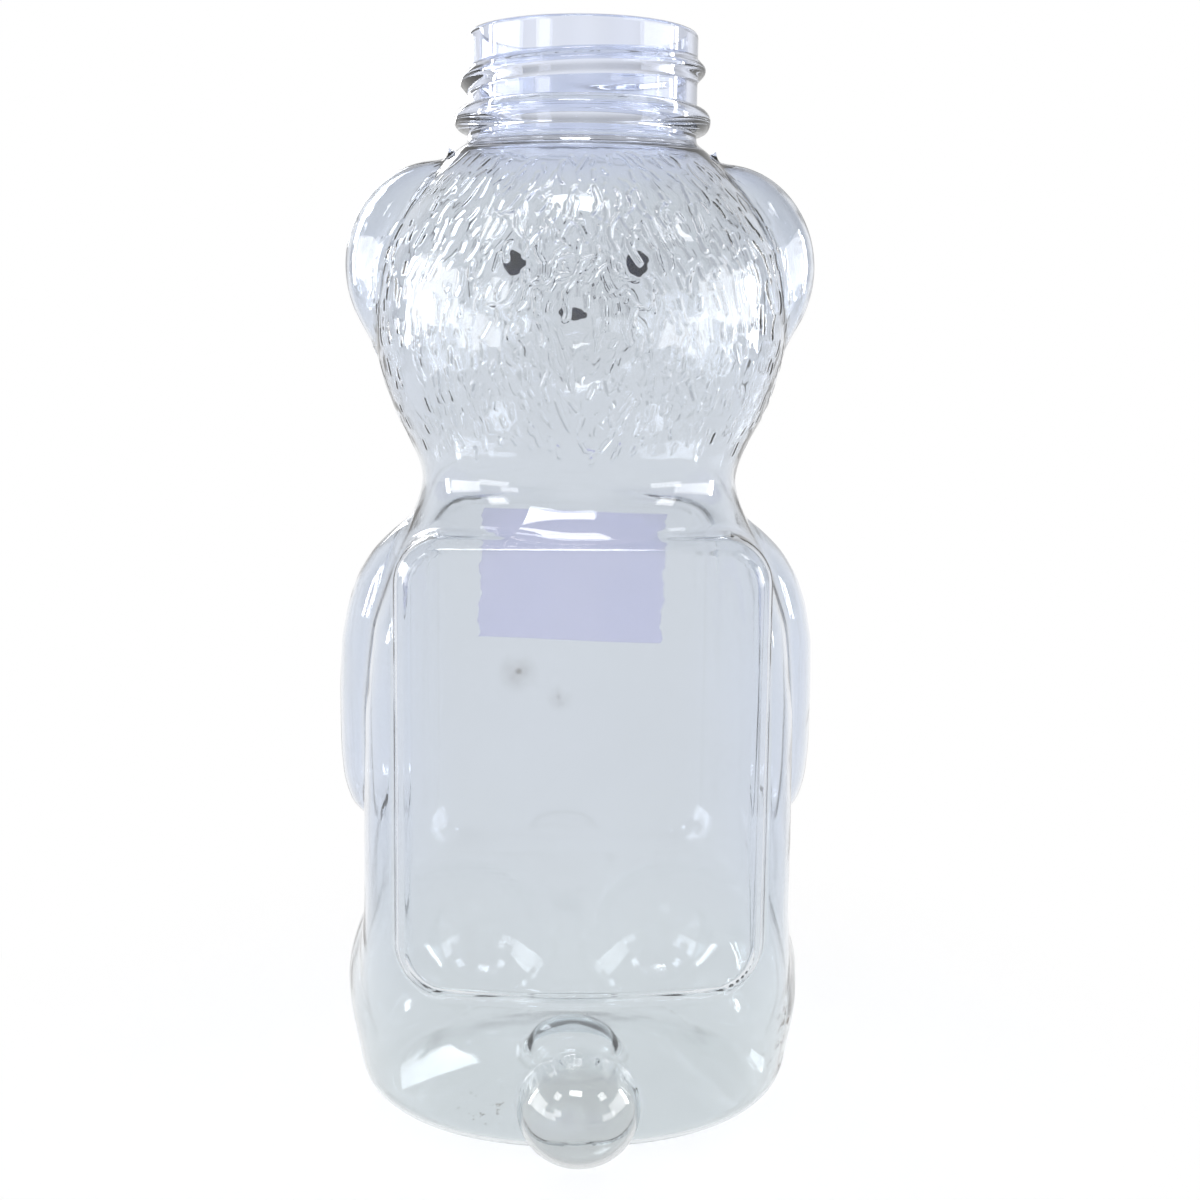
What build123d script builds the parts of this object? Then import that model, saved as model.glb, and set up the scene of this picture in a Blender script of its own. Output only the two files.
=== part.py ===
"""Honey bear bottle: a clear blow-moulded bear, its inked face and the blank tape on its belly.

The origin is the middle of the standing base, on the axis of the neck. +Z is up and the face
looks along -Y. The bottle is one moulding, so the whole bear is one shell: its outside and its
cavity come from the same functions, and the cavity lies one wall inside the outside.
"""

import os
from math import atan2, copysign, cos, degrees, pi, sin

from build123d import *

# Heights from the base, and the wall
total_height = 167.0
trunk_height = 150.0
waist_height = 98.8
wall = 0.6

# Trunk, as half sizes
waist_half_width = 24.5
waist_half_depth = 23.2
body_half_depth = 27.0
hip_half_width = 35.6
head_half_width = 32.0
head_half_depth = 29.2
heel_radius = 4.5

# Neck finish: a 38 mm continuous thread over a bead
bore_radius = 15.8
land_radius = 17.45
rim_round = 0.6
neck_flare = 0.8
bead_radius = 19.55
bead_height = 154.0
thread_radius = 18.65
thread_pitch = 4.23
thread_height = 158.4
thread_root = 2.6
thread_crest = 1.0
thread_turns = 1.1
thread_start_angle = -100.0

# Ears
ear_offset = 21.8
ear_height = 132.0
ear_half_width = 14.5
ear_half_depth = 8.5
ear_half_height = 16.0

# Snout
snout_offset = 27.0
snout_height = 123.5
snout_half_width = 11.0
snout_half_depth = 8.82
snout_half_height = 9.0

# Arms, from a narrow shoulder to a forward paw
arm_top = 94.0
arm_bottom = 43.4
arm_offset = 27.0
arm_half_width = 11.0
arm_half_depth = 15.0
shoulder_setback = 3.0
paw_reach = 6.0

# Thighs
thigh_offset = 20.0
thigh_reach = 5.0
thigh_height = 17.2
thigh_half_width = 17.0
thigh_half_depth = 25.0
thigh_half_height = 17.0

# Feet
foot_offset = 16.0
foot_reach = 23.5
foot_height = 12.9
foot_half_width = 12.0
foot_half_depth = 11.5
foot_half_height = 12.6

# Tail
tail_setback = 27.0
tail_height = 8.5
tail_half_width = 9.2
tail_half_depth = 9.0
tail_half_height = 8.3

# Label panels
panel_depth = 28.0
panel_bevel = 1.2
panel_bevel_width = 1.9
panel_bow = 2.0
back_panel_width = 54.4
back_panel_top = 95.2
back_panel_bottom = 25.8
back_panel_top_corner = 7.5
back_panel_bottom_corner = 8.0
front_panel_width = 50.8
front_panel_top = 95.2
front_panel_bottom = 31.5
front_panel_corner = 7.5

# Push-up under the base, and the gate dimple in its middle
push_up_half_width = 25.0
push_up_half_depth = 20.0
push_up_height = 3.5
gate_radius = 6.5
gate_height = 7.0

# Ink marks, seated in flat pockets
eye_offset = 10.7
eye_height = 133.5
eye_width = 4.3
eye_tall = 5.0
eye_recess = 0.15
nose_height = 125.0
nose_width = 5.0
nose_tall = 2.5
nose_recess = 0.3
ink_proud = 0.1
ink_clearance = 0.1

# Tape label on the front panel
tape_width = 33.0
tape_tall = 23.6
tape_thickness = 0.2
tape_height = 78.9
tape_turn = 2.0

# How far a cut or a hidden root runs past the face that it starts from
overrun = 0.8

# Rows of the torso: share of the waist's height, shares of the way from the waist's half width
# to the hips' and from its half depth to the body's, and the squareness of the outline
torso_shares = [
    (0.00, 0.76, 0.86, 2.1),
    (0.06, 0.93, 0.95, 2.2),
    (0.14, 1.00, 1.03, 2.5),
    (0.24, 0.94, 1.06, 3.2),
    (0.34, 0.81, 1.04, 4.2),
    (0.48, 0.79, 1.02, 4.6),
    (0.66, 0.77, 1.00, 4.6),
    (0.80, 0.65, 1.02, 4.2),
    (0.88, 0.42, 1.02, 3.5),
    (0.93, 0.21, 0.91, 2.9),
    (0.965, 0.07, 0.52, 2.5),
    (1.00, 0.00, 0.00, 2.3),
]

# Rows of the head: share of the height from the waist to the neck, shares of the way from the
# waist's half sizes to the head's, and the squareness
head_shares = [
    (0.10, 0.14, 0.12, 2.1),
    (0.22, 0.58, 0.54, 2.0),
    (0.36, 0.92, 0.89, 2.0),
    (0.51, 1.00, 1.00, 2.0),
    (0.67, 0.88, 0.88, 2.0),
    (0.80, 0.55, 0.56, 2.0),
    (0.91, 0.03, 0.05, 2.0),
]

# Rows of an arm: share of its height from the paw up, of its half sizes and of its forward reach
arm_shares = [
    (0.000, 0.34, 0.34, 1.00),
    (0.030, 0.62, 0.60, 1.00),
    (0.075, 0.82, 0.80, 1.00),
    (0.150, 0.95, 0.94, 0.95),
    (0.270, 1.00, 1.00, 0.80),
    (0.420, 0.99, 1.00, 0.60),
    (0.580, 0.97, 0.98, 0.40),
    (0.730, 0.90, 0.92, 0.20),
    (0.850, 0.78, 0.80, 0.08),
    (0.940, 0.58, 0.60, 0.00),
    (1.000, 0.30, 0.32, 0.00),
]
arm_lean_share = 0.25
outline_points = 20
seam_step = 3
along_x = (0, 90, 0)
along_y = (90, 0, 0)


def between(low, high, share):
    """The value that lies a share of the way from low to high."""
    return low + (high - low) * share


def ring(middle, half_width, half_depth, squareness):
    """A closed outline: an ellipse at squareness 2, nearer to a rectangle above it."""
    points = []
    for step in range(outline_points):
        turn = 2 * pi * (seam_step + step) / outline_points
        across = copysign(abs(cos(turn)) ** (2 / squareness), cos(turn))
        along = copysign(abs(sin(turn)) ** (2 / squareness), sin(turn))
        points.append((middle[0] + half_width * across, middle[1] + half_depth * along))
    with BuildLine() as outline:
        Spline(*points, periodic=True)
    make_face(outline.edges())


def trunk_rows():
    """Height, half width, half depth and squareness of each row, from the base to the neck."""
    rows = []
    for height, width, depth, squareness in torso_shares:
        rows.append((
            between(0, waist_height, height),
            between(waist_half_width, hip_half_width, width),
            between(waist_half_depth, body_half_depth, depth),
            squareness,
        ))
    for height, width, depth, squareness in head_shares:
        rows.append((
            between(waist_height, trunk_height, height),
            between(waist_half_width, head_half_width, width),
            between(waist_half_depth, head_half_depth, depth),
            squareness,
        ))
    return rows


def trunk(inset):
    """Torso, waist and head in one loft, closed at the top by the root of the neck."""
    neck_root = neck_flare + between(land_radius, bore_radius, inset / wall)
    with BuildPart() as body:
        for height, half_width, half_depth, squareness in trunk_rows():
            level = between(inset, trunk_height - inset, height / trunk_height)
            with BuildSketch(Plane.XY.offset(level)):
                ring((0, 0), half_width - inset, half_depth - inset, squareness)
        with BuildSketch(Plane.XY.offset(trunk_height - inset)):
            ring((0, 0), neck_root, neck_root, 2)
        loft()
        fillet(body.faces().sort_by(Axis.Z)[0].edges(), heel_radius - inset)
    return body.part


def lobe(middle, half_sizes, inset, poles=(0, 0, 0)):
    """An ellipsoid that swells out of the trunk, or into it, with its poles turned as given."""
    with BuildPart() as ball:
        Sphere(1, rotation=poles)
        scale(by=tuple(half - inset for half in half_sizes))
    return ball.part.moved(Location(middle))


def arm(side, inset):
    """An arm against the body, with its paw forward."""
    with BuildPart() as limb:
        for height, width, depth, reach in arm_shares:
            level = between(arm_bottom + inset, arm_top - inset, height)
            across = side * arm_offset * between(1, width, arm_lean_share)
            along = between(shoulder_setback, -paw_reach, reach)
            with BuildSketch(Plane.XY.offset(level)):
                ring((across, along), arm_half_width * width - inset,
                     arm_half_depth * depth - inset, 2)
        loft()
    return limb.part


def panel_block(side, width, top, bottom, top_corner, bottom_corner, inset):
    """The raised flat label panel on one side of the body, with a bevel and a bowed foot."""
    half_width = width / 2 - inset
    lower = bottom + inset
    with BuildPart() as block:
        with BuildSketch(Plane.XZ) as face:
            with BuildLine():
                Polyline(
                    (-half_width, lower), (-half_width, top - inset),
                    (half_width, top - inset), (half_width, lower),
                )
                ThreePointArc((half_width, lower), (0, lower - panel_bow), (-half_width, lower))
            make_face()
            fillet(face.vertices().group_by(Axis.Y)[-1], top_corner - inset)
            fillet(face.vertices().group_by(Axis.Y)[0], bottom_corner - inset)
        extrude(amount=-side * (panel_depth - inset))
        front = block.faces().sort_by(Axis.Y)[0 if side < 0 else -1]
        chamfer(front.edges(), panel_bevel_width, panel_bevel, reference=front)
    return block.part


def bear_form(inset):
    """The bear below its neck: its outside with no inset, its cavity with the wall as inset."""
    with BuildPart() as form:
        add(trunk(inset))
        swellings = [
            panel_block(-1, front_panel_width, front_panel_top, front_panel_bottom,
                        front_panel_corner, front_panel_corner, inset),
            panel_block(1, back_panel_width, back_panel_top, back_panel_bottom,
                        back_panel_top_corner, back_panel_bottom_corner, inset),
            lobe((0, -snout_offset, snout_height),
                 (snout_half_width, snout_half_depth, snout_half_height), inset, along_y),
            lobe((0, tail_setback, tail_height),
                 (tail_half_width, tail_half_depth, tail_half_height), inset, along_y),
        ]
        for side in (-1, 1):
            swellings += [
                arm(side, inset),
                lobe((side * ear_offset, 0, ear_height),
                     (ear_half_width, ear_half_depth, ear_half_height), inset, along_x),
                lobe((side * thigh_offset, -thigh_reach, thigh_height),
                     (thigh_half_width, thigh_half_depth, thigh_half_height), inset, along_x),
                lobe((side * foot_offset, -foot_reach, foot_height),
                     (foot_half_width, foot_half_depth, foot_half_height), inset, along_y),
            ]
        add(swellings)
        add([
            lobe((0, 0, 0), (push_up_half_width, push_up_half_depth, push_up_height), -inset),
            lobe((0, 0, 0), (gate_radius, gate_radius, gate_height), -inset),
        ], mode=Mode.SUBTRACT)
    return form.part


def thread():
    """The helical thread, with its root sunk into the neck's wall."""
    rise = thread_radius - land_radius + overrun
    with BuildPart() as ridge:
        with BuildLine() as helix:
            Helix(thread_pitch, thread_pitch * thread_turns, land_radius - overrun)
        start = helix.line
        with BuildSketch(Plane(start @ 0, x_dir=(1, 0, 0), z_dir=start % 0)):
            Trapezoid(thread_root, rise, degrees(atan2(rise, (thread_root - thread_crest) / 2)),
                      rotation=-90, align=(Align.CENTER, Align.MIN))
        sweep(path=start, is_frenet=True)
    turned = Location((0, 0, thread_height), (0, 0, thread_start_angle))
    return ridge.part.moved(turned)


def finish():
    """The neck as a solid plug: its land with a rounded rim, its bead and its thread."""
    with BuildPart() as neck:
        with Locations((0, 0, trunk_height - overrun)):
            Cylinder(land_radius, total_height - trunk_height + overrun,
                     align=(Align.CENTER, Align.CENTER, Align.MIN))
        fillet(neck.faces().sort_by(Axis.Z)[-1].edges(), rim_round)
        with Locations((0, 0, bead_height)):
            Torus(land_radius, bead_radius - land_radius)
        add(thread())
    return neck.part


def hollow():
    """The whole space inside the bottle, from the floor out through the mouth."""
    with BuildPart() as space:
        add(bear_form(wall))
        with Locations((0, 0, trunk_height - wall - overrun)):
            Cylinder(bore_radius, total_height - trunk_height + wall + 2 * overrun,
                     align=(Align.CENTER, Align.CENTER, Align.MIN))
    return space.part


def seat(skin, across, height, recess):
    """The plane of a pocket's floor, sunk below the skin of the face at the given spot."""
    sight = Axis((across, 0, height), (0, -1, 0))
    spot, outward = skin.find_intersection_points(sight)[-1]
    return Plane(origin=spot, x_dir=(1, 0, 0), z_dir=outward).offset(-recess)


outside = bear_form(0)
seats = {
    "left_eye": seat(outside, eye_offset, eye_height, eye_recess),
    "right_eye": seat(outside, -eye_offset, eye_height, eye_recess),
    "nose": seat(outside, 0, nose_height, nose_recess),
}
mark_sizes = {
    "left_eye": (eye_width, eye_tall, eye_recess),
    "right_eye": (eye_width, eye_tall, eye_recess),
    "nose": (nose_width, nose_tall, nose_recess),
}

with BuildPart() as bottle:
    add(outside)
    add(finish())
    add(hollow(), mode=Mode.SUBTRACT)
    for name, (width, tall, recess) in mark_sizes.items():
        with BuildSketch(seats[name]):
            Ellipse(width / 2 + ink_clearance, tall / 2 + ink_clearance)
        extrude(amount=recess + overrun, mode=Mode.SUBTRACT)

os.makedirs("parts", exist_ok=True)
bottle.part.label = "bottle"
export_step(bottle.part, "parts/bottle.step")

for name, (width, tall, recess) in mark_sizes.items():
    with BuildPart() as mark:
        with BuildSketch(seats[name]):
            Ellipse(width / 2, tall / 2)
        extrude(amount=recess + ink_proud)
    mark.part.label = name
    export_step(mark.part, f"parts/{name}.step")

with BuildPart() as front_label:
    with BuildSketch(Plane.XZ.offset(panel_depth)):
        with Locations((0, tape_height)):
            Rectangle(tape_width, tape_tall, rotation=tape_turn)
    extrude(amount=tape_thickness)
front_label.part.label = "front_label"
export_step(front_label.part, "parts/front_label.step")

print(f"bottle: valid {bottle.part.is_valid}, plastic {bottle.part.volume / 1000:.1f} cm3")
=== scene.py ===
# %% [markdown]
# # A honey bear bottle in clear plastic
# The bottle is one blow moulding: a tube of hot plastic blown against a bear-shaped mould. So
# its outside is a single skin that swells into ears, arms, thighs, feet and a tail, and its
# inside follows about half a millimetre behind. The lesson makes that skin as a surface, gives
# it a wall, and then spends its care on what makes clear plastic look clear: even walls, soft
# creases, and light with both bright and darker parts in it.

import bpy
import numpy as np
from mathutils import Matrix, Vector


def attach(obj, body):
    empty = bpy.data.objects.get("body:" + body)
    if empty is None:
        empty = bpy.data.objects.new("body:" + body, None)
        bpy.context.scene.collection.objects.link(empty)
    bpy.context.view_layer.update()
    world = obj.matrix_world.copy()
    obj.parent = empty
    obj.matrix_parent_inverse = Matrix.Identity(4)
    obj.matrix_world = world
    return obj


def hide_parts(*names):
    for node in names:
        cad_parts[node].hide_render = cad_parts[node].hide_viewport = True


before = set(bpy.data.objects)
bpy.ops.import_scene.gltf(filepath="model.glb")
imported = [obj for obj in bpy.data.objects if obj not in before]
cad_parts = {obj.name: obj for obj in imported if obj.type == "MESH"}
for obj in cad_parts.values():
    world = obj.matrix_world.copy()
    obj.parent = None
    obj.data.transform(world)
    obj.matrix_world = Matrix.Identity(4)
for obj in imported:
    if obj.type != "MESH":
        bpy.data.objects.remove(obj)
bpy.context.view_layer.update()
MM = 0.001
print("frame nodes:", sorted(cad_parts))


# %% [markdown]
# ## Curves through rows of sizes
# A bottle designer draws the trunk as rows: at this height, this half width, this half depth and
# this squareness. Straight lines between rows would show as bands in clear plastic, where every
# change of slope bends the light. So each column of a table is drawn as straight lines first and
# then averaged over a few millimetres, which leaves one smooth curve.

# %% Smooth curves from rows
def smooth_rows(rows, softness, step=0.05):
    """Linear interpolation of each column by height, then a Gaussian average of that width."""
    rows = np.array(rows, float)
    heights = np.arange(rows[0, 0] - 6 * softness, rows[-1, 0] + 6 * softness, step)
    reach = np.arange(-4 * softness, 4 * softness + step / 2, step)
    weights = np.exp(-0.5 * (reach / softness) ** 2)
    weights /= weights.sum()
    edge = len(reach) // 2
    columns = []
    for column in rows.T[1:]:
        values = np.interp(heights, rows[:, 0], column)
        padded = np.pad(values, edge, mode="edge")
        columns.append(np.convolve(padded, weights, mode="valid")[:len(heights)])
    return heights, columns


TOP, PANEL_TOP = 150.0, 94.0
WALL = 0.6
LAND, BORE, RIM = 17.45, 15.8, 167.0
TRUNK = smooth_rows([
    (-4.0, 30.5, 25.4, 2.10), (0.0, 33.0, 26.5, 2.15), (5.9, 34.8, 26.9, 2.20),
    (13.8, 35.4, 27.2, 2.50), (23.7, 34.5, 27.3, 3.20), (33.6, 33.2, 27.3, 4.20),
    (47.4, 33.0, 27.2, 4.60), (65.2, 32.8, 27.1, 4.60), (79.0, 31.6, 27.1, 4.20),
    (86.0, 29.6, 27.1, 3.60), (91.0, 27.4, 26.9, 3.10), (94.6, 25.6, 25.9, 2.60),
    (98.8, 24.3, 23.2, 2.30), (101.4, 24.6, 23.3, 2.20), (104.5, 25.9, 24.2, 2.10),
    (109.5, 28.6, 26.4, 2.05), (114.5, 30.5, 28.0, 2.00), (119.5, 31.6, 29.0, 2.00),
    (125.0, 32.0, 29.3, 2.00), (130.5, 31.6, 28.9, 2.00), (135.5, 30.3, 27.7, 2.00),
    (140.0, 27.9, 25.9, 2.00), (144.0, 24.6, 23.4, 2.00), (147.0, 21.6, 20.9, 2.00),
    (149.4, 18.9, 18.7, 2.00), (153.0, 17.4, 17.4, 2.00),
], softness=1.3)
print("trunk curves have", len(TRUNK[0]), "heights")


# %% [markdown]
# ## The forms of the bear
# Each form is written as a function that says how far a point lies outside it, in millimetres,
# and below zero inside. Such distances are easy to join: the smaller of two is the union. Taking
# a rounded smaller value instead leaves a fillet in the crease, as the mould has, because
# plastic can't be blown into a sharp corner. The same functions later give the inside of the
# wall: it is where the distance is minus one wall.

# %% Distances and how they join
def join(first, second, fillet):
    """Union of two distances, with the crease between them rounded over about the fillet."""
    share = np.clip(0.5 + 0.5 * (second - first) / fillet, 0, 1)
    return second + (first - second) * share - fillet * share * (1 - share)


def meet(first, second, fillet):
    """Intersection of two distances, with the corner between them rounded."""
    return -join(-first, -second, fillet)


def ball(x, y, z, middle, half):
    """Distance to an ellipsoid: the scaled radius times how far it exceeds one, over its slope."""
    px, py, pz = x - middle[0], y - middle[1], z - middle[2]
    radius = np.sqrt((px / half[0]) ** 2 + (py / half[1]) ** 2 + (pz / half[2]) ** 2)
    slope = np.sqrt((px / half[0] ** 2) ** 2 + (py / half[1] ** 2) ** 2
                    + (pz / half[2] ** 2) ** 2)
    return radius * (radius - 1) / np.maximum(slope, 1e-6)


def trunk(x, y, z):
    """Distance from the axis beyond a superellipse whose half sizes and squareness vary."""
    heights, (width, depth, square) = TRUNK
    half_width = np.interp(z, heights, width)
    half_depth = np.interp(z, heights, depth)
    power = np.interp(z, heights, square)
    level = ((np.abs(x) / half_width) ** power + (np.abs(y) / half_depth) ** power) ** (1 / power)
    beyond = np.hypot(x, y) * (1 - 1 / np.maximum(level, 1e-3))
    return meet(beyond, z - TOP, 1.2)


def heel(distance, z, radius=4.5):
    """Cuts the form at the floor, with the heel rounded to the given radius."""
    side, under = distance + radius, -z + radius
    corner = np.hypot(np.maximum(side, 0), np.maximum(under, 0))
    return corner + np.minimum(np.maximum(side, under), 0) - radius


ARM = smooth_rows([
    (40.0, 0.00, 0.00, 1.00), (41.6, 0.30, 0.25, 1.00), (42.8, 0.66, 0.55, 1.00),
    (44.4, 0.84, 0.78, 1.00), (46.7, 0.94, 0.90, 0.97), (50.7, 0.99, 0.97, 0.88),
    (56.0, 1.00, 1.00, 0.75), (66.0, 0.99, 1.00, 0.55), (74.0, 0.96, 0.97, 0.35),
    (80.0, 0.89, 0.92, 0.20), (84.5, 0.80, 0.84, 0.12), (88.5, 0.66, 0.72, 0.05),
    (92.0, 0.46, 0.52, 0.00), (95.0, 0.20, 0.25, 0.00), (97.0, 0.00, 0.00, 0.00),
], softness=0.9)


def arm(x, y, z, side):
    """Distance to an upright stack of ellipses that reaches forward towards the paw."""
    heights, (width, depth, reach) = ARM
    half_width = np.maximum(11.0 * np.interp(z, heights, width), 0.05)
    half_depth = np.maximum(15.0 * np.interp(z, heights, depth), 0.05)
    across = side * (27.0 - 6.8 * (1 - np.interp(z, heights, width)))
    along = 3.0 - 9.0 * np.interp(z, heights, reach)
    level = np.sqrt(((x - across) / half_width) ** 2 + ((y - along) / half_depth) ** 2)
    return (level - 1) * half_width


def gate_dome(x, y, z):
    """Distance to the steep dome over the gate: an upright superellipse turned round the axis."""
    level = ((np.hypot(x, y) / 7.6) ** 3 + (np.abs(z) / 8.0) ** 3) ** (1 / 3)
    return (level - 1) * 7.6


def panel(x, y, z, side, half_width, top, bottom, corner, bow):
    """A flat label panel: a rounded outline with a bevel, and a foot that bows downwards."""
    foot = bottom - bow * (1 - np.clip(np.abs(x) / half_width, 0, 1) ** 2)
    level = top - (top - z) * (top - bottom) / (top - foot)
    across = np.abs(x) - half_width + corner
    up = np.abs(level - (top + bottom) / 2) - (top - bottom) / 2 + corner
    outline = (np.hypot(np.maximum(across, 0), np.maximum(up, 0))
               + np.minimum(np.maximum(across, up), 0) - corner)
    front = side * y - 28.0
    bevel = (2.6 * (outline + 1.9) + 1.9 * front) / np.hypot(2.6, 1.9)
    return np.maximum(meet(meet(outline, front, 0.5), bevel, 0.5), -side * y)


# each form's middle and half sizes; a dish is a wide ball that hollows the front of an ear
EARS = [((side * 21.8, 0.0, 132.0), (14.5, 8.5, 16.0)) for side in (-1, 1)]
DISHES = [((side * 32.7, -26.1, 133.4), (20.7, 20.7, 28.0)) for side in (-1, 1)]
THIGHS = [((side * 20.0, -5.0, 17.2), (17.0, 25.0, 17.0)) for side in (-1, 1)]
FEET = [((side * 16.0, -23.5, 12.9), (12.0, 11.5, 12.6)) for side in (-1, 1)]
SNOUT = (0, -27.0, 123.5), (11.0, 8.8, 9.0)
TAIL = (0, 27.0, 8.5), (9.2, 9.0, 8.3)
PUSH_UP = (0, 0, -3.5), (28.9, 23.1, 7.0)


def bear(x, y, z, inset=0.0):
    """Distance to the whole outside of the bear below its neck, or to its cavity by the inset."""
    body = trunk(x, y, z)
    for ear, dish in zip(EARS, DISHES):
        body = join(body, meet(ball(x, y, z, *ear), -ball(x, y, z, *dish), 1.0), 2.4)
    body = join(body, ball(x, y, z, *SNOUT), 4.0)
    body = join(body, panel(x, y, z, 1, 27.2, PANEL_TOP, 25.8, 7.5, 2.0), 0.9)
    body = join(body, panel(x, y, z, -1, 25.4, PANEL_TOP, 31.5, 7.5, 2.0), 2.6)
    for side, thigh in zip((-1, 1), THIGHS):
        body = join(body, arm(x, y, z, side), 1.4)
        body = join(body, ball(x, y, z, *thigh), 2.2)
    body = heel(body, z)
    for foot in FEET:
        body = join(body, ball(x, y, z, *foot), 4.0)
    body = join(body, ball(x, y, z, *TAIL), 0.8)
    body = np.maximum(body, -z)
    body = meet(body, -ball(x, y, z, *PUSH_UP), 2.4)
    body = meet(body, -gate_dome(x, y, z), 1.5)
    neck = np.hypot(x, y) - np.interp(inset, (0.0, WALL), (LAND, 16.4))
    neck = np.maximum(neck, 146.0 - z)
    return join(body, neck, 1.6) + inset


# %% [markdown]
# ## Rays from the axis to the skin
# A skin needs a grid of points, with rows and columns that stay evenly spaced wherever the
# surface turns. Here every grid point is where a ray leaves the bear. The rays start on the
# bottle's axis. They fan out downwards over the base, run nearly level through the tail and the
# body, and tilt up over the head towards the neck, so that each meets the skin nearly square.
# A ray from high up would pass over the tail's top first and leave a fold there.
# Halving the bracket and then a few secant steps find the skin to a ten thousandth of a
# millimetre: in clear plastic even a hundredth would show as ripples.

# %% Fans of rays
GUIDE = np.array([
    # how far out the ray aims, at what height, and where on the axis it starts
    (0.0, 0.0, 24.0), (12.0, 0.0, 24.0), (24.0, 0.0, 23.5), (32.0, 0.6, 20.0),
    (35.5, 4.0, 16.5), (36.5, 10.0, 14.5), (36.5, 20.0, 18.5), (36.5, 34.0, 33.5),
    (36.5, 46.0, 46.0), (36.5, 86.0, 86.0), (27.0, 96.0, 95.0), (25.0, 101.0, 101.0),
    (28.0, 110.0, 110.0), (31.0, 118.0, 117.0), (32.5, 126.0, 122.0), (32.0, 134.0, 126.0),
    (29.5, 141.0, 129.0), (25.0, 146.0, 130.5), (20.5, 149.3, 131.2), (17.45, 151.4, 131.8),
])


def rays(rows):
    """Radius, height and start height of each row's ray, evenly spaced along the guide."""
    lengths = np.hypot(*np.diff(GUIDE[:, :2], axis=0).T)
    along = np.concatenate([[0], np.cumsum(lengths)])
    dense = np.linspace(0, along[-1], 4000)
    spread = 60
    weights = np.hanning(2 * spread + 1)
    weights /= weights.sum()
    smooth = []
    for column in GUIDE.T:
        values = np.interp(dense, along, column)
        padded = np.concatenate([2 * values[0] - values[spread:0:-1], values,
                                 2 * values[-1] - values[-2:-spread - 2:-1]])
        smooth.append(np.convolve(padded, weights, mode="valid"))
    spot = rows * along[-1]
    return [np.interp(spot, dense, column) for column in smooth] + [spot]


def skin(rows, columns, inset=0.0):
    """Grid of points where rays leave the bear. Rows are shares of the guide, columns angles."""
    radius, height, start, spot = [value[:, None] for value in rays(rows)]
    turn = columns[None, :]
    length = np.hypot(radius, height - start)
    out_x = radius / length * np.cos(turn)
    out_y = radius / length * np.sin(turn)
    up = (height - start) / length + 0 * turn

    def distance(reach):
        return bear(out_x * reach, out_y * reach, start + up * reach, inset)

    near, far = np.full(up.shape, 9.0), np.full(up.shape, 56.0)
    for _ in range(9):
        middle = (near + far) / 2
        outside = distance(middle) > 0
        far = np.where(outside, middle, far)
        near = np.where(outside, near, middle)
    near_value, far_value = distance(near), distance(far)
    for _ in range(6):
        gap = far_value - near_value
        share = np.where(np.abs(gap) > 1e-12, far_value / np.where(gap == 0, 1, gap), 0.5)
        middle = far - np.clip(share, 0.02, 0.98) * (far - near)
        value = distance(middle)
        outside = value > 0
        far, far_value = np.where(outside, middle, far), np.where(outside, value, far_value)
        near, near_value = np.where(outside, near, middle), np.where(outside, near_value, value)
    gap = far_value - near_value
    share = np.clip(far_value / np.where(np.abs(gap) < 1e-12, 1, gap), 0, 1)
    reach = far - share * (far - near)
    return np.stack([out_x * reach, out_y * reach, start + up * reach], axis=-1)


def outward(points):
    """Unit normals of a grid that closes round its columns, from central differences."""
    around = np.roll(points, -1, axis=1) - np.roll(points, 1, axis=1)
    upward = np.gradient(points, axis=0)
    normals = np.cross(around, upward)
    size = np.linalg.norm(normals, axis=-1, keepdims=True)
    return normals / np.maximum(size, 1e-9)


def slopes(points, inset=0.0, step=0.02):
    """Unit normals of the form itself: how the distance changes over a small step each way."""
    change = np.stack([bear(*np.moveaxis(points + move, -1, 0), inset)
                       - bear(*np.moveaxis(points - move, -1, 0), inset)
                       for move in step * np.eye(3)], axis=-1)
    return change / np.linalg.norm(change, axis=-1, keepdims=True)


# %% [markdown]
# ## Where the grid is fine
# Points are spent where the light bends most. Rows crowd at the heel, at the paws and at the
# upper and lower edges of the label panels. Columns crowd where the panels' upright edges run,
# and at the two sides, where the halves of the mould left their fine parting line. The head gets
# an even and much finer grid of its own, because its fur is stamped onto the grid's points.

# %% Rows and columns
GUIDE_SHARES = np.linspace(0.3, 1.0, 3000)
GUIDE_HEIGHTS, _, GUIDE_PLACES = rays(GUIDE_SHARES)[1:]
LENGTH = rays(np.array([1.0]))[3][0]


def along(height):
    """Place along the guide, in millimetres, where it passes a height."""
    return np.interp(height, GUIDE_HEIGHTS, GUIDE_PLACES)


SPACING = np.array([
    (0.0, 0.35), (9.0, 0.35), (11.0, 0.80), (23.0, 0.80), (25.0, 0.45), (43.0, 0.45),
    (47.0, 0.65), (along(21), 0.65), (along(23), 0.32), (along(34), 0.32), (along(36), 0.8),
    (along(41), 0.8), (along(43), 0.4), (along(50), 0.4), (along(54), 0.9), (along(82), 0.9),
    (along(85), 0.3), (along(98), 0.3), (along(104), 0.4),
])


def spaced_rows(first, last, coarser=1.0):
    """Shares of the guide for rows whose count grows by one over the spacing at each place."""
    dense = np.linspace(first, last, 4000)
    steps = np.interp(dense, *SPACING.T) * coarser
    count = np.concatenate([[0], np.cumsum(np.diff(dense) * 2 / (steps[1:] + steps[:-1]))])
    rows = int(np.ceil(count[-1])) + 1
    return np.interp(np.linspace(0, count[-1], rows), count, dense) / LENGTH


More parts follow.
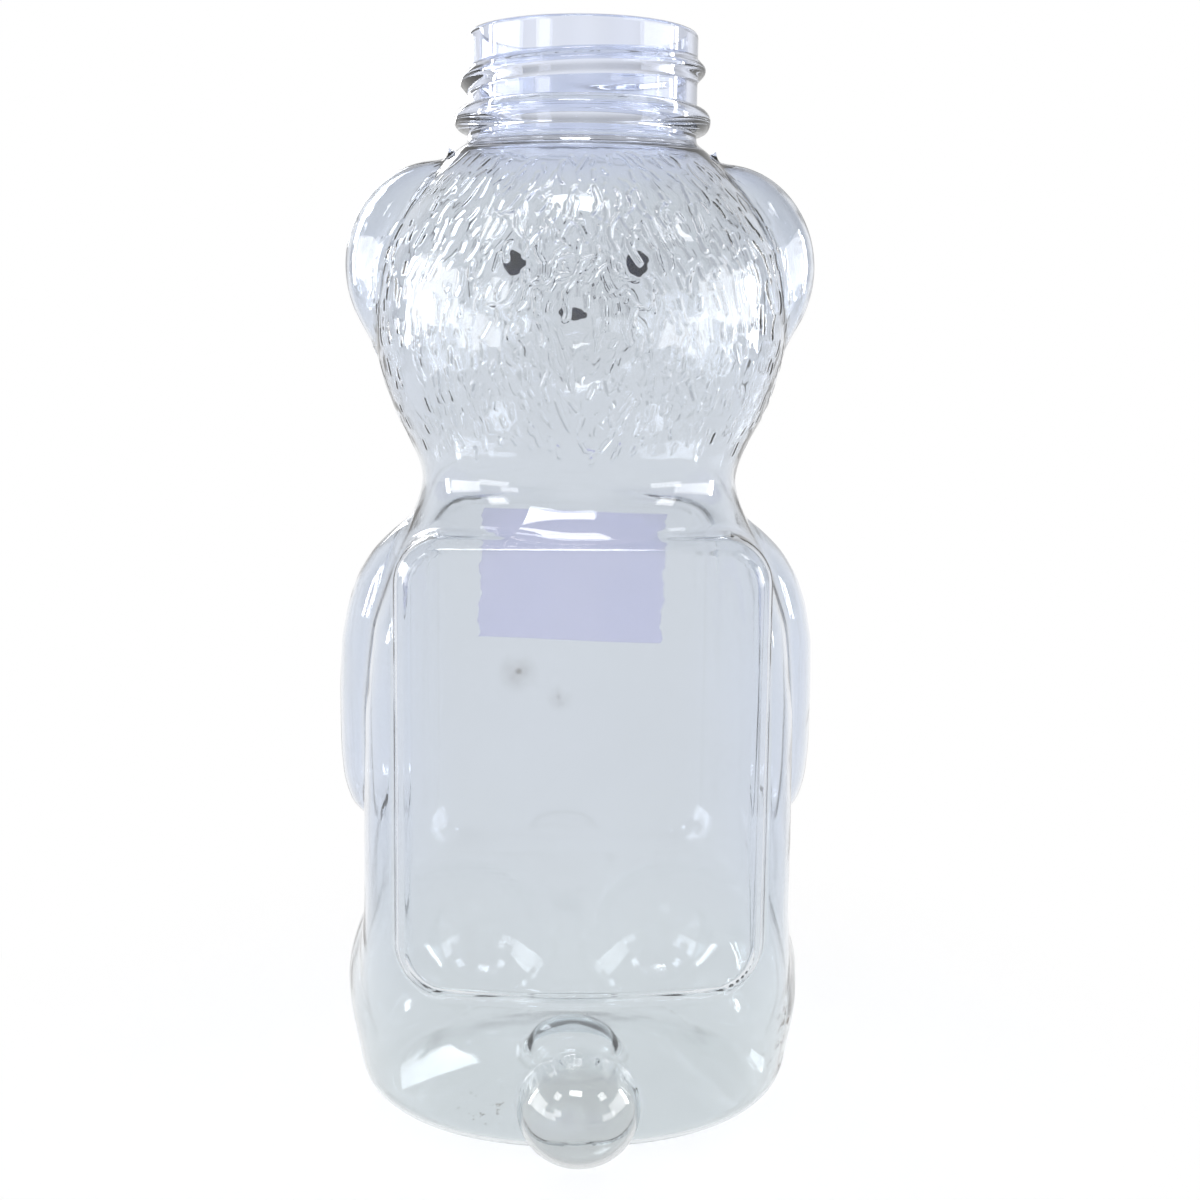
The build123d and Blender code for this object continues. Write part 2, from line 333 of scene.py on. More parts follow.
def spaced_turns(columns):
    """Angles round the body, crowded at the panels' upright edges and at the parting line."""
    dense = np.linspace(0, 2 * np.pi, 7201)
    crowd = 1.0 + 0 * dense
    for middle, width, gain in ((0, 1.0, 2.2), (46.3, 2.8, 2.0), (133.7, 2.8, 2.0),
                                (180, 1.0, 2.2), (228.0, 2.8, 2.0), (312.0, 2.8, 2.0)):
        away = (np.degrees(dense) - middle + 180) % 360 - 180
        crowd = crowd + gain * np.exp(-(away / width) ** 2)
    count = np.concatenate([[0], np.cumsum((crowd[1:] + crowd[:-1]) / 2)])
    return np.interp(np.linspace(0, count[-1], columns, endpoint=False), count, dense)


def parting_line(points, normals):
    """Adds the mould's fine ridge, a bell across the plane that parts front from back."""
    ridge = 0.05 * np.exp(-(points[..., 1:2] / 0.16) ** 2) * (points[..., 2:3] > 1.5)
    return points + ridge * normals


# %% Trace the outside and the inside
BODY_COLUMNS, HEAD_COLUMNS = 576, 864
INNER_BODY, INNER_HEAD = 288, 288
body_turns, inner_body_turns = spaced_turns(BODY_COLUMNS), spaced_turns(INNER_BODY)
head_turns = np.linspace(0, 2 * np.pi, HEAD_COLUMNS, endpoint=False)
inner_head_turns = np.linspace(0, 2 * np.pi, INNER_HEAD, endpoint=False)
INNER_HEAD_ROWS = 91
FUR_FOOT = 103.0
HEAD_STEP = 0.23


def traced(first, last, columns, inner_columns):
    """Outside and inside of one stretch of the wall, each with its normals."""
    rows, inner_rows = spaced_rows(first, last), spaced_rows(first, last, coarser=2.0)
    outside, inside = skin(rows, columns), skin(inner_rows, inner_columns, inset=WALL)
    normals = slopes(outside)
    return parting_line(outside, normals), normals, inside, -slopes(inside, inset=WALL)


head_count = int((LENGTH - along(FUR_FOOT)) / HEAD_STEP)
head_rows = np.linspace(along(FUR_FOOT) / LENGTH, 1.0, head_count)
head = skin(head_rows, head_turns)
print("head grid", head.shape, "width", np.ptp(head[..., 0]).round(2))


# %% [markdown]
# ## Embossed fur
# The mould is engraved with short strokes that stand out of the head as rounded welts, half a
# millimetre wide. They flow down and outwards from the crown, draw together into a V at the
# nape and thin out at the sides, and the ears stay smooth. Each stroke is stamped onto the
# grid's own points as a soft capsule. All stamps are worked out at once, as one array of
# strokes times window points.

# %% Stamp the strokes
rng = np.random.default_rng(7)
head_normals = outward(head)
head = parting_line(head, head_normals)
head_spot = rays(head_rows)[3]
head_radius = np.linalg.norm(head[..., :2], axis=-1)
ROW_STEP = head_spot[1] - head_spot[0]
HEAD_RADIUS, NAPE_RADIUS = 30, 27


def net(cell_width, cell_height, low, high):
    """One stroke in each cell of a jittered net: its turn and its place along the guide."""
    count_around = int(2 * np.pi * HEAD_RADIUS / cell_width)
    count_up = int((high - low) / cell_height)
    around, upward = np.meshgrid(np.arange(count_around), np.arange(count_up))
    shift = (upward % 2) * 0.5
    turn = (around + shift + rng.uniform(-0.4, 0.4, around.shape)) / count_around * 2 * np.pi
    place = low + (upward + 0.5 + rng.uniform(-0.42, 0.42, around.shape)) * cell_height
    return turn.ravel(), place.ravel()


def flow(turn, place):
    """Lean of the fur: outwards down from the crown, drawn into a V at the nape and the chin."""
    height = np.interp(place, GUIDE_PLACES, GUIDE_HEIGHTS)
    lean = 0.0
    for middle in (np.pi / 2, 3 * np.pi / 2):
        across = ((turn - middle + np.pi) % (2 * np.pi) - np.pi) * HEAD_RADIUS
        nearby = np.exp(-(across / 34) ** 4)
        crown = -0.36 * np.tanh(across / 9) * np.clip((height - 119) / 10, 0, 1)
        nape = 0.55 * np.tanh(across / 2.0) * np.exp(-(across / 8) ** 2)
        lean = lean + nearby * (crown + nape * np.clip((124 - height) / 5, 0, 1))
    return lean


def stamp(turn, place, length, width, height, lean, bend, wave, reach=14):
    """Height of the strokes on the head's grid: at each point the highest stroke's profile.
    A stroke is a flat-topped welt. Its line bends with the square of the way along it and
    waves with the cube."""
    relief = np.zeros(head.shape[:2])
    row = np.round((place - head_spot[0]) / ROW_STEP).astype(int)
    column = np.round(turn / (2 * np.pi) * HEAD_COLUMNS).astype(int)
    step_row, step_column = np.meshgrid(np.arange(-reach, reach + 1),
                                        np.arange(-reach, reach + 1), indexing="ij")
    rows = row[:, None] + step_row.ravel()[None, :]
    columns = (column[:, None] + step_column.ravel()[None, :]) % HEAD_COLUMNS
    good = (rows >= 0) & (rows < head_count)
    rows = np.clip(rows, 0, head_count - 1)
    away = (head_turns[columns] - turn[:, None] + np.pi) % (2 * np.pi) - np.pi
    across = away * head_radius[rows, columns]
    up = head_spot[rows] - place[:, None]
    slant = np.sqrt(1 + lean[:, None] ** 2)
    way = (up + lean[:, None] * across) / slant
    beside = (across - lean[:, None] * up) / slant
    beside = beside - bend[:, None] * way ** 2 - wave[:, None] * way ** 3
    over = np.maximum(np.abs(way) - length[:, None] / 2, 0)
    level = (beside ** 2 + over ** 2) / width[:, None] ** 2
    profile = height[:, None] * np.exp(-level ** 1.6)
    np.maximum.at(relief, (rows, columns), np.where(good, profile, 0))
    return relief


def thinned(turn, place, spots):
    """Which strokes stay: those farther than a given distance from each listed spot."""
    keep = np.ones(len(turn), bool)
    for spot_turn, spot_height, reach in spots:
        aside = ((turn - spot_turn + np.pi) % (2 * np.pi) - np.pi) * HEAD_RADIUS
        keep &= np.hypot(aside, place - along(spot_height)) > reach
    return keep


BACK, FRONT = np.pi / 2, 3 * np.pi / 2
FACE = [(FRONT + 0.39, 133.5, 3.0), (FRONT - 0.39, 133.5, 3.0), (FRONT, 125.0, 2.6),
        (BACK - 0.31, 131.9, 1.5), (BACK + 0.30, 131.8, 1.5), (BACK - 0.04, 124.9, 1.4)]
turn, place = net(2.5, 3.0, head_spot[0] + 1.6, head_spot[-1] - 3.0)
keep = thinned(turn, place, FACE + [(BACK, 111.0, 6.0)])
turn, place = turn[keep], place[keep]
count = len(turn)
tall = np.clip((np.interp(place, GUIDE_PLACES, GUIDE_HEIGHTS) - 108) / 18, 0, 1)
aside = np.min([np.abs(turn - BACK), np.abs(turn - FRONT), np.abs(turn - BACK - 2 * np.pi)],
               axis=0) * HEAD_RADIUS
at_sides = np.clip((aside - 20) / 10, 0, 1)
calm = 1 - 0.55 * at_sides * (1 - 0.5 * tall)
calm = calm * (1 - 0.5 * np.clip((place - along(140)) / 5, 0, 1))
kept = rng.uniform(0, 1, count) > 0.5 * at_sides * (1 - 0.5 * tall)
turn, place, tall, calm = turn[kept], place[kept], tall[kept], calm[kept]
count = len(turn)
fur = stamp(turn, place, rng.uniform(0.6, 1.8 + 2.2 * tall), rng.uniform(0.26, 0.35, count),
            rng.uniform(0.10, 0.20, count) * calm, flow(turn, place) + rng.normal(0, 0.24, count),
            rng.normal(0, 0.10, count), rng.normal(0, 0.03, count))
turn, place = net(2.9, 4.4, along(126), along(144))
crown = np.min([np.abs(turn - BACK), np.abs(turn - FRONT)], axis=0) * HEAD_RADIUS < 12
keep = crown & thinned(turn, place, FACE)
turn, place = turn[keep], place[keep]
count = len(turn)
curls = stamp(turn, place, rng.uniform(2.5, 5.0, count), rng.uniform(0.30, 0.38, count),
              rng.uniform(0.14, 0.22, count), flow(turn, place) + rng.normal(0, 0.35, count),
              rng.normal(0, 0.16, count), rng.normal(0, 0.09, count), reach=18)
fur = np.maximum(fur, curls)

# the nape's longest strokes, drawn as runs of points: to the right of the middle, and height
NAPE = [[(-5.0, 117.2), (-5.9, 115.0), (-6.3, 112.6)],
        [(-4.1, 113.0), (-3.4, 110.8), (-2.4, 108.8)],
        [(-0.4, 110.7), (-1.0, 108.8), (-0.7, 107.0), (0.0, 105.8), (1.3, 105.5)],
        [(3.2, 110.7), (4.1, 109.2), (3.7, 107.6), (2.5, 105.9)],
        [(6.6, 113.4), (5.6, 111.0), (4.5, 109.1)],
        [(-7.6, 109.0), (-7.0, 106.6)], [(7.9, 110.4), (7.6, 108.2)], [(0.9, 114.9), (0.3, 113.4)],
        [(2.6, 116.0), (3.0, 114.2)], [(-2.3, 116.6), (-2.1, 115.0)], [(1.0, 104.6), (1.0, 103.9)],
        [(5.2, 106.6), (4.8, 105.0)], [(-4.2, 106.3), (-4.0, 104.8)],
        [(-2.2, 112.9), (-1.4, 111.7)]]
for run in NAPE:
    run = np.array(run)
    run_turn, run_place = BACK + run[:, 0] / NAPE_RADIUS, along(run[:, 1])
    step_across, step_up = np.diff(run[:, 0]), np.diff(run_place)
    count = len(step_up)
    drawn = stamp((run_turn[1:] + run_turn[:-1]) / 2, (run_place[1:] + run_place[:-1]) / 2,
                  np.hypot(step_across, step_up), np.full(count, 0.31), np.full(count, 0.22),
                  step_across / step_up, np.zeros(count), np.zeros(count))
    fur = np.maximum(fur, drawn)
ear_distance = np.min([ball(*np.moveaxis(head, -1, 0), *ear) for ear in EARS], axis=0)
trunk_distance = trunk(*np.moveaxis(head, -1, 0))
smooth_skin = np.clip((trunk_distance - ear_distance - 0.2) / 0.8, 0, 1)
fur = fur * (1 - smooth_skin)
print("fur:", len(fur[fur > 0.03]), "raised points, highest", fur.max().round(3), "mm")
head = head + fur[..., None] * head_normals
head_normals = outward(head)
inner_head = skin(np.linspace(head_rows[0], 1.0, INNER_HEAD_ROWS), inner_head_turns, inset=WALL)
inner_head_normals = -slopes(inner_head, inset=WALL)


# %% [markdown]
# ## From grids to a closed wall
# Each piece is a closed wall: the outer grid, the inner grid turned round, and a rim that
# stitches their edges. The inner grid is coarser, so the rim joins two or three outer edges to
# each inner one. The base closes at a pole. The head's normals are taken from its whole grid
# before it is cut into pieces, and those of the body from the form itself, so the light runs
# over the joints without a step.

# %% Mesh helpers
def grid_faces(first, rows, columns, flip=False):
    """Quads between neighbouring rows of a grid that closes round its columns."""
    row, column = np.meshgrid(np.arange(rows - 1), np.arange(columns), indexing="ij")
    after = (column + 1) % columns
    low, high = first + row * columns, first + (row + 1) * columns
    quads = np.stack([low + column, low + after, high + after, high + column], -1).reshape(-1, 4)
    return quads[:, ::-1] if flip else quads


def pole_faces(first, pole, columns, flip=False):
    """Triangles from a pole to the first row of a grid."""
    column = np.arange(columns)
    fans = np.stack([first + (column + 1) % columns, first + column,
                     np.full(columns, pole)], -1)
    return fans[:, ::-1] if flip else fans


def rim_faces(outer_first, inner_first, columns, inner_columns, flip=False):
    """Triangles that join a fine ring to a coarse one, several fine edges to each coarse one."""
    ratio = columns // inner_columns
    inner_ring = np.arange(inner_columns)
    inner_next = (inner_ring + 1) % inner_columns
    faces = []
    for part in range(ratio):
        low = inner_ring * ratio + part
        faces.append(np.stack([outer_first + low, outer_first + (low + 1) % columns,
                               inner_first + inner_ring], -1))
    last = (inner_ring * ratio + ratio) % columns
    faces.append(np.stack([outer_first + last, inner_first + inner_next,
                           inner_first + inner_ring], -1))
    faces = np.concatenate(faces)
    return faces[:, ::-1] if flip else faces


def make_piece(name, points, normals, face_groups, material, joints=(), joint_material=None):
    """A mesh object at the origin from arrays of points, in millimetres, and groups of faces."""
    points = np.asarray(points) * MM
    loops, starts, slots, at = [], [], [], 0
    for index, faces in enumerate(face_groups):
        width = faces.shape[1]
        loops.append(faces.ravel())
        starts.append(at + np.arange(len(faces)) * width)
        slots.append(np.full(len(faces), int(index in joints)))
        at += faces.size
    loops, starts, slots = [np.concatenate(values) for values in (loops, starts, slots)]
    mesh = bpy.data.meshes.new(name)
    mesh.vertices.add(len(points))
    mesh.vertices.foreach_set("co", points.astype(np.float32).ravel())
    mesh.loops.add(len(loops))
    mesh.loops.foreach_set("vertex_index", loops.astype(np.int32))
    mesh.polygons.add(len(starts))
    mesh.polygons.foreach_set("loop_start", starts.astype(np.int32))
    mesh.polygons.foreach_set("material_index", slots.astype(np.int32))
    mesh.update(calc_edges=True)
    mesh.validate()
    mesh.polygons.foreach_set("use_smooth", np.ones(len(starts), bool))
    if normals is not None:
        face_normals = np.zeros(len(starts) * 3, np.float32)
        mesh.polygons.foreach_get("normal", face_normals)
        sizes = np.diff(np.append(starts, len(loops)))
        flats = np.repeat(face_normals.reshape(-1, 3), sizes, axis=0)
        chosen = np.where(np.repeat(slots, sizes)[:, None] > 0, flats, np.asarray(normals)[loops])
        mesh.normals_split_custom_set(chosen.astype(np.float32))
    piece = bpy.data.objects.new(name, mesh)
    bpy.context.scene.collection.objects.link(piece)
    mesh.materials.append(material)
    if joint_material:
        mesh.materials.append(joint_material)
    triangles = sum(len(faces) * (faces.shape[1] - 2) for faces in face_groups)
    print(f"{name}: {triangles} triangles")
    return piece


# %% [markdown]
# ## Shader maths as Python
# Nodes are easier to read as formulas. One small class wraps a socket, and its operators add
# the Math nodes.

# %% The socket wrapper
class Socket:
    """A node's output that takes part in Python expressions."""

    def __init__(self, tree, socket):
        self.tree, self.socket = tree, socket

    def node(self, kind, values=(), output=0, **settings):
        """Adds a node: its settings first, then numbers or links into its inputs."""
        made = self.tree.nodes.new(kind)
        for key, value in settings.items():
            setattr(made, key, value)
        for key, value in dict(values).items():
            if isinstance(value, Socket):
                self.tree.links.new(value.socket, made.inputs[key])
            else:
                made.inputs[key].default_value = value
        return Socket(self.tree, made.outputs[output])

    def into(self, node, name):
        """Links this output to a node's input."""
        self.tree.links.new(self.socket, node.inputs[name])

    def _math(self, operation, first, second=0.0):
        return self.node("ShaderNodeMath", {0: first, 1: second}, operation=operation)

    def __add__(self, other):
        return self._math("ADD", self, other)

    def __mul__(self, other):
        return self._math("MULTIPLY", self, other)

    def __sub__(self, other):
        return self._math("SUBTRACT", self, other)

    def __rsub__(self, other):
        return self._math("SUBTRACT", other, self)

    __radd__, __rmul__ = __add__, __mul__

    def noise(self, scale, detail):
        """Noise at this place, from 0 to 1."""
        return self.node("ShaderNodeTexNoise", {"Vector": self, "Scale": scale,
                                                "Detail": detail})

    def between(self, low, high):
        """0 below low and 1 above high, with a smooth way between."""
        return self.node("ShaderNodeMapRange", {"Value": self, "From Min": low,
                                                "From Max": high},
                         interpolation_type="SMOOTHSTEP")


def mixed_shader(tree, factor, first, second):
    """Mixes two shader outputs by a number or a link, and gives the mix's own output."""
    made = tree.nodes.new("ShaderNodeMixShader")
    if isinstance(factor, float):
        made.inputs["Fac"].default_value = factor
    else:
        tree.links.new(factor, made.inputs["Fac"])
    tree.links.new(first, made.inputs[1])
    tree.links.new(second, made.inputs[2])
    return made.outputs["Shader"]


def surface(tree, output):
    """Links a shader's output to the material's surface."""
    tree.links.new(output, tree.nodes["Material Output"].inputs["Surface"])


def start_material(name):
    """A new material with its Principled node, its object coordinates and its tree."""
    material = bpy.data.materials.new(name)
    material.use_nodes = True
    tree = material.node_tree
    shader = tree.nodes["Principled BSDF"]
    coordinates = tree.nodes.new("ShaderNodeTexCoord")
    return material, tree, shader, Socket(tree, coordinates.outputs["Object"])


def colour(red, green, blue):
    """Scene-linear colour, with its alpha, of an sRGB one given in 0 to 255."""
    share = np.array([red, green, blue]) / 255
    return (*np.where(share <= 0.04045, share / 12.92, ((share + 0.055) / 1.055) ** 2.4), 1)


# %% [markdown]
# ## Clear plastic
# The wall is real glass-like geometry with two faces, so the shader only needs a little colour:
# PET looks grey-blue because light crosses four faces and two walls. The tint is a bit bluer at
# the neck and at the sides and more neutral at the foot. A used bottle isn't spotless either:
# the heel has picked up brown specks, and two faint stains sit on the belly. Shadow rays pass
# straight through with a small loss, because a path tracer with few samples can't find lamps
# through bent glass.

# %% Clear plastic
def mixed(factor, first, second):
    """Mix of two colours, either of them a constant or a link."""
    return factor.node("ShaderNodeMix", {0: factor, 6: first, 7: second}, output=2,
                       data_type="RGBA")


plastic, tree, shader, spot = start_material("clear_plastic")
shader.inputs["IOR"].default_value = 1.57
shader.inputs["Transmission Weight"].default_value = 1.0
parts = tree.nodes.new("ShaderNodeSeparateXYZ")
spot.into(parts, 0)
px, py, pz = [Socket(tree, parts.outputs[index]) for index in range(3)]
width = px.node("ShaderNodeMath", {0: px}, operation="ABSOLUTE")
cloud = spot.noise(38.0, 3.0)
sides = width.between(0.018, 0.037)
tint = mixed(sides, colour(229, 233, 238), colour(229, 234, 243))
tint = mixed(pz.between(0.142, 0.152), tint, colour(223, 229, 246))
tint = mixed(pz.between(0.002, 0.05), colour(230, 235, 237), tint)
tint = mixed(cloud.between(0.35, 0.75) * 0.35, tint, colour(225, 229, 233))
tint = mixed(py.between(0.0275, 0.0315), tint, colour(215, 218, 219))
tint.into(shader, "Base Color")
haze = cloud.between(0.45, 0.8) * 0.05 + 0.015
haze.into(shader, "Roughness")
swirl = spot.noise(55.0, 2.0)
ripple = spot.noise(170.0, 1.5)
ripple = ripple * pz.between(0.102, 0.110) * (1 - pz.between(0.146, 0.150))
bump = spot.node("ShaderNodeBump", {"Height": swirl * 0.5 + ripple * 0.55, "Strength": 0.6,
                                    "Distance": 0.0006})
bump.into(shader, "Normal")

light_path = tree.nodes.new("ShaderNodeLightPath")
clear = tree.nodes.new("ShaderNodeBsdfTransparent")
clear.inputs["Color"].default_value = (0.93, 0.94, 0.96, 1)
mix = mixed_shader(tree, light_path.outputs["Is Shadow Ray"], shader.outputs["BSDF"],
                   clear.outputs["BSDF"])


def nearness(centre, inner, outer):
    """1 within the inner distance of a place on the bottle, in millimetres, 0 past the outer."""
    off = spot.node("ShaderNodeVectorMath", {0: spot, 1: [value * MM for value in centre]},
                    output="Value", operation="DISTANCE")
    return 1 - off.between(inner * MM, outer * MM)


grit = spot.noise(700.0, 3.0)
patchy = spot.noise(160.0, 2.0)
heel_dirt = nearness((-33, 10, 11), 3, 13) * patchy.between(0.46, 0.62) * grit.between(0.56, 0.64)
floor_dirt = nearness((14, 14, 2), 1, 6) * grit.between(0.66, 0.70)
stains = (nearness((9.6, -28, 61.3), 0, 4.5) * 0.16 + nearness((9.4, -28, 61.5), 0.2, 0.9) * 0.35
          + nearness((2.1, -28, 56.7), 0, 3.0) * 0.16 + nearness((2.2, -28, 56.8), 0.1, 0.8) * 0.3)
dirt = stains * patchy.between(0.25, 0.6) + heel_dirt * 0.75 + floor_dirt * 0.6
grime = tree.nodes.new("ShaderNodeBsdfDiffuse")
grime.inputs["Color"].default_value = colour(122, 112, 100)
surface(tree, mixed_shader(tree, dirt.socket, mix, grime.outputs["BSDF"]))

# the wall is cut into pieces only to keep each mesh a handy size, so its cut faces don't show
joint, tree, shader, spot = start_material("wall_joint")
shader.inputs["Base Color"].default_value = colour(229, 233, 241)
shader.inputs["Alpha"].default_value = 0.0


# %% Make the body and the head
def wall_piece(name, outside, normals_out, inside, normals_in, pole=False):
    """A closed wall: a stretch of outside, the inside behind it, a rim or a pole at each end."""
    count_out, columns = outside.shape[:2]
    count_in, inner_columns = inside.shape[:2]
    first_inner = count_out * columns
    points = np.concatenate([outside.reshape(-1, 3), inside.reshape(-1, 3)])
    normals = np.concatenate([normals_out.reshape(-1, 3), normals_in.reshape(-1, 3)])
    groups = [grid_faces(0, count_out, columns),
              grid_faces(first_inner, count_in, inner_columns, flip=True)]
    flat = []
    if pole:
        total = len(points)
        points = np.concatenate([points, [outside[0].mean(axis=0), inside[0].mean(axis=0)]])
        normals = np.concatenate([normals, [(0, 0, -1), (0, 0, 1)]])
        groups.append(pole_faces(0, total, columns))
        groups.append(pole_faces(first_inner, total + 1, inner_columns, flip=True))
    else:
        flat.append(len(groups))
        groups.append(rim_faces(0, first_inner, columns, inner_columns, flip=True))
    flat.append(len(groups))
    groups.append(rim_faces((count_out - 1) * columns,
                            first_inner + (count_in - 1) * inner_columns,
                            columns, inner_columns))
    piece = make_piece(name, points, normals, groups, plastic, flat, joint)
    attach(piece, "root")
    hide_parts("bottle")


wall_piece("bottle_base", *traced(0.8, along(21.0), body_turns, inner_body_turns), pole=True)
wall_piece("bottle_legs", *traced(along(21.0), along(52.0), body_turns, inner_body_turns))
wall_piece("bottle_trunk", *traced(along(52.0), along(FUR_FOOT), body_turns, inner_body_turns))
cuts = np.linspace(0, head_count - 1, 4).astype(int)
inner_cuts = np.round(cuts / (head_count - 1) * (INNER_HEAD_ROWS - 1)).astype(int)
head_names = ("bottle_nape", "bottle_face", "bottle_crown")
for name, low, high, inner_low, inner_high in zip(
        head_names, cuts, cuts[1:], inner_cuts, inner_cuts[1:]):
    part, inner_part = slice(low, high + 1), slice(inner_low, inner_high + 1)
    wall_piece(name, head[part], head_normals[part], inner_head[inner_part],
               inner_head_normals[inner_part])


# %% [markdown]
# ## The neck
# The neck is thicker than the blown wall, because it is moulded first. It is a profile turned
# round the axis, over the bead, up the land, over the rounded rim and down the bore. The thread
# is a ridge added to the radius where the height meets a helix, and it fades at both ends.

# %% Turn the neck's profile
NECK_COLUMNS = 576
LIP = 0.6
BEAD_MIDDLE, BEAD_HALF, BEAD_OUT = 154.0, 2.0, 2.1
THREAD_FOOT, THREAD_OUT, PITCH, TURNS = 158.4, 1.2, 4.23, 1.1
THREAD_START = -np.radians(100)
neck_turns = np.linspace(0, 2 * np.pi, NECK_COLUMNS, endpoint=False)
neck_foot = skin(np.array([1.0]), neck_turns)[0]
inner_joint = skin(np.array([1.0]), neck_turns[::2], inset=WALL)[0]
JOINT = neck_foot[:, 2].mean()
heights = np.linspace(JOINT, RIM - LIP, 112)
rim_turn = np.linspace(0, np.pi / 2, 8)[1:]
profile = [np.stack([np.full_like(heights, LAND), heights], -1)]
profile.append(np.stack([LAND - LIP + LIP * np.cos(rim_turn),
                         RIM - LIP + LIP * np.sin(rim_turn)], -1))
lip = np.linspace(0, np.pi / 2, 6)
profile.append(np.stack([BORE + 0.3 - 0.3 * np.sin(lip), RIM - 0.3 + 0.3 * np.cos(lip)], -1))
bore_heights = np.linspace(RIM - 1.0, inner_joint[:, 2].mean(), 16)
inner_radius = np.linalg.norm(inner_joint[:, :2], axis=-1).mean()
profile.append(np.stack([np.interp(bore_heights, (bore_heights[-1], bore_heights[-1] + 2.0),
                                   (inner_radius, BORE)), bore_heights], -1))
profile = np.concatenate(profile)
radius, height = profile[:, 0][:, None], profile[:, 1][:, None]
outside = (np.arange(len(profile)) < len(heights))[:, None]
turn = neck_turns[None, :]
bead = BEAD_OUT * np.sqrt(np.clip(1 - ((height - BEAD_MIDDLE) / BEAD_HALF) ** 2, 0, 1))
neck_radius = radius + outside * bead
thread = 0
for lap in (-1, 0, 1):
    angle = turn + 2 * np.pi * lap
    climb = THREAD_FOOT + PITCH * (angle - THREAD_START) / (2 * np.pi)
    end = THREAD_START + 2 * np.pi * TURNS
    fade = np.clip((angle - THREAD_START) / 1.8, 0, 1) * np.clip((end - angle) / 0.9, 0, 1)
    fade = fade * fade * (3 - 2 * fade)
    off = np.clip((np.abs(height - climb) - 0.1) / 1.9, 0, 1)
    thread = np.maximum(thread, THREAD_OUT * fade * 0.5 * (1 + np.cos(np.pi * off)))
neck_radius = neck_radius + outside * thread
neck = np.stack([neck_radius * np.cos(turn), neck_radius * np.sin(turn), height + 0 * turn], -1)
neck[0] = neck_foot
neck_normals = outward(neck)
neck = parting_line(neck, neck_normals * outside[..., None])
count = len(neck)
points = np.concatenate([neck.reshape(-1, 3), inner_joint])
normals = np.concatenate([neck_normals.reshape(-1, 3), -slopes(inner_joint, inset=WALL)])
piece = make_piece("bottle_neck", points, normals, [
    grid_faces(0, count, NECK_COLUMNS),
    rim_faces((count - 1) * NECK_COLUMNS, count * NECK_COLUMNS, NECK_COLUMNS, NECK_COLUMNS // 2),
    rim_faces(0, count * NECK_COLUMNS, NECK_COLUMNS, NECK_COLUMNS // 2, flip=True),
], plastic, (2,), joint)
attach(piece, "root")
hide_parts("bottle")


# %% [markdown]
# ## Ink of the face
# Eyes and nose were dabbed on with a marker. The ink lies on the furred skin, so each dab takes
# its points from the head's own grid, a few hundredths of a millimetre out. Its outline wavers
# as a hand does, and the ink thins out towards the rim and in a few streaks.

# %% Dabs of ink
ink, tree, shader, spot = start_material("ink")
strokes_of_pen = spot.noise(900.0, 3.0)
pools = spot.noise(420.0, 1.0)
shade = mixed(pools.between(0.35, 0.7), colour(2, 4, 22), colour(10, 16, 52))
shade.into(shader, "Base Color")
(pools.between(0.3, 0.7) * 0.35 + 0.35).into(shader, "Roughness")
shader.inputs["Specular IOR Level"].default_value = 0.15
edge = tree.nodes.new("ShaderNodeAttribute")
edge.attribute_name = "thin"
thin = Socket(tree, edge.outputs["Fac"])
cover = 1 - (thin * 0.75 + strokes_of_pen.between(0.55, 0.75) * 0.35).between(0.55, 1.05)
cover.into(shader, "Alpha")


def on_head(turn, place):
    """Points of the furred head and their normals, bilinear between the grid's points."""
    column = (turn % (2 * np.pi)) / (2 * np.pi) * HEAD_COLUMNS
    row = np.clip((place - head_spot[0]) / ROW_STEP, 0, head_count - 1.001)
    left, low = np.floor(column).astype(int), np.floor(row).astype(int)
    share_x, share_y = (column - left)[..., None], (row - low)[..., None]
    results = []
    for grid in (head, head_normals):
        near, far = grid[low, left % HEAD_COLUMNS], grid[low, (left + 1) % HEAD_COLUMNS]
        near_up = grid[low + 1, left % HEAD_COLUMNS]
        far_up = grid[low + 1, (left + 1) % HEAD_COLUMNS]
        results.append((near * (1 - share_x) + far * share_x) * (1 - share_y)
                       + (near_up * (1 - share_x) + far_up * share_x) * share_y)
    return results


